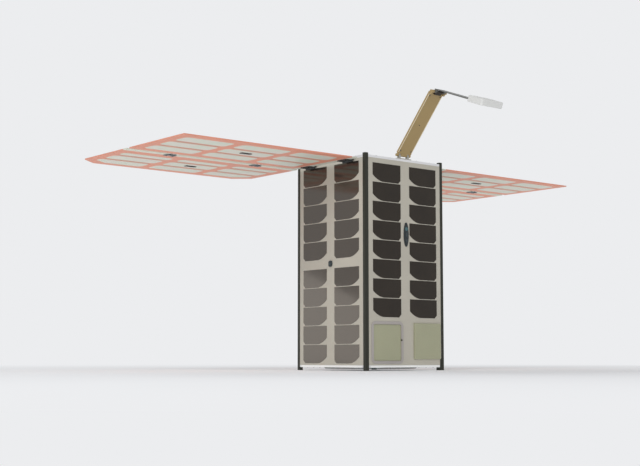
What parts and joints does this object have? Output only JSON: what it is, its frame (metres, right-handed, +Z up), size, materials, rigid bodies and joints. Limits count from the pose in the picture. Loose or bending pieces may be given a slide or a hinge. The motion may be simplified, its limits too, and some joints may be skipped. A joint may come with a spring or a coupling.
{
  "type": "small satellite with telescope and folding solar wings",
  "caption": "Box-shaped small satellite on corner rails with a downward telescope, two folding solar wings, a hinged camera boom and a blade antenna.",
  "frame": {"origin": "on the ground under the middle of the body, at the centre of the four foot ends", "axes": "+Z up along the body, away from the telescope's aperture; +X along the wings to the right; -Y is the front face that carries the boom and the patch antennas"},
  "size_m": [1.106, 0.6798, 0.5841],
  "materials": {
    "rail": "satin hard anodised",
    "plate": "satin",
    "inner_structure": "satin",
    "electronics": "matte",
    "tube": "matte black inside, grey bevelled ring",
    "secondary": "matte black",
    "mirror": "polished",
    "spider": "satin",
    "board": "solder mask, beige",
    "body_cell": "glossy cover glass over dark cell",
    "patch": "matte laminate",
    "patch_frame": "satin",
    "sensor": "glossy dark",
    "wing_panel": "copper coloured, satin",
    "wing_cell": "glossy cover glass",
    "pad": "matte",
    "strip": "satin",
    "root_hinge": "satin dark",
    "fold_finger": "satin light",
    "fold_hinge": "satin grey-blue",
    "boom_tan": "satin",
    "boom_grey": "satin",
    "boom_base": "satin",
    "tray": "satin white",
    "lens": "glossy black",
    "antenna": "satin ivory",
    "antenna_bracket": "satin"
  },
  "bodies": {
    "bus": {"rail_front_left": "rail", "rail_front_right": "rail", "rail_rear_left": "rail", "rail_rear_right": "rail", "bottom_plate": "plate", "top_plate": "plate", "mid_plate": "inner_structure", "electronics_block": "electronics", "telescope_tube": "tube", "primary_mirror": "mirror", "mirror_spider": "spider", "secondary_cell": "secondary", "front_face": "board", "left_face": "board", "right_face": "board", "rear_face": "board", "body_cells": "body_cell", "patch_antennas": "patch", "patch_frame": "patch_frame", "side_sensors": "sensor", "front_sensor": "sensor", "nadir_sensor": "sensor", "left_root_brackets": "root_hinge", "right_root_brackets": "root_hinge", "boom_base": "boom_base", "antenna_bracket": "antenna_bracket"},
    "left_inner_wing": {"left_inner_panel": "wing_panel", "left_inner_root_strip": "strip", "left_inner_cells": "wing_cell", "left_inner_pads": "pad", "left_root_leaves": "root_hinge", "left_fold_leaves": "fold_finger"},
    "left_outer_wing": {"left_outer_panel": "wing_panel", "left_outer_strip": "strip", "left_outer_cells": "wing_cell", "left_outer_pads": "pad", "left_outer_leaves": "fold_hinge"},
    "right_inner_wing": {"right_inner_panel": "wing_panel", "right_inner_root_strip": "strip", "right_inner_cells": "wing_cell", "right_inner_pads": "pad", "right_root_leaves": "root_hinge", "right_fold_leaves": "fold_finger"},
    "right_outer_wing": {"right_outer_panel": "wing_panel", "right_outer_strip": "strip", "right_outer_cells": "wing_cell", "right_outer_pads": "pad", "right_outer_leaves": "fold_hinge"},
    "boom_lower": {"boom_lower_arm": "boom_tan"},
    "boom_upper": {"boom_upper_arm": "boom_grey", "camera_tray": "tray", "camera_plate": "tray", "camera_lens": "lens"},
    "antenna": {"antenna_blade": "antenna", "antenna_tip": "antenna"}
  },
  "joints": [
    {"name": "left_wing_root", "type": "hinge", "parent": "bus", "child": "left_inner_wing", "pos_m": [-0.1195, -0.00185, 0.4395], "axis": [0, -1, 0], "range_deg": [0, 90]},
    {"name": "left_wing_fold", "type": "hinge", "parent": "left_inner_wing", "child": "left_outer_wing", "pos_m": [-0.3385, 0.10265, 0.4471], "axis": [1, 0, 0], "range_deg": [0, 180]},
    {"name": "right_wing_root", "type": "hinge", "parent": "bus", "child": "right_inner_wing", "pos_m": [0.1195, -0.00185, 0.4395], "axis": [0, 1, 0], "range_deg": [0, 90]},
    {"name": "right_wing_fold", "type": "hinge", "parent": "right_inner_wing", "child": "right_outer_wing", "pos_m": [0.3385, 0.10265, 0.4471], "axis": [1, 0, 0], "range_deg": [0, 180]},
    {"name": "boom_root", "type": "hinge", "parent": "bus", "child": "boom_lower", "pos_m": [0, -0.108, 0.459], "axis": [-1, 0, 0], "range_deg": [0, 130.7]},
    {"name": "boom_elbow", "type": "hinge", "parent": "boom_lower", "child": "boom_upper", "pos_m": [0, -0.21899, 0.57853], "axis": [1, 0, 0], "range_deg": [0, 109.7]},
    {"name": "antenna_fold", "type": "hinge", "parent": "bus", "child": "antenna", "pos_m": [-0.074, 0.1225, 0.01], "axis": [0, 0, -1], "range_deg": [0, 61.3]}
  ]
}
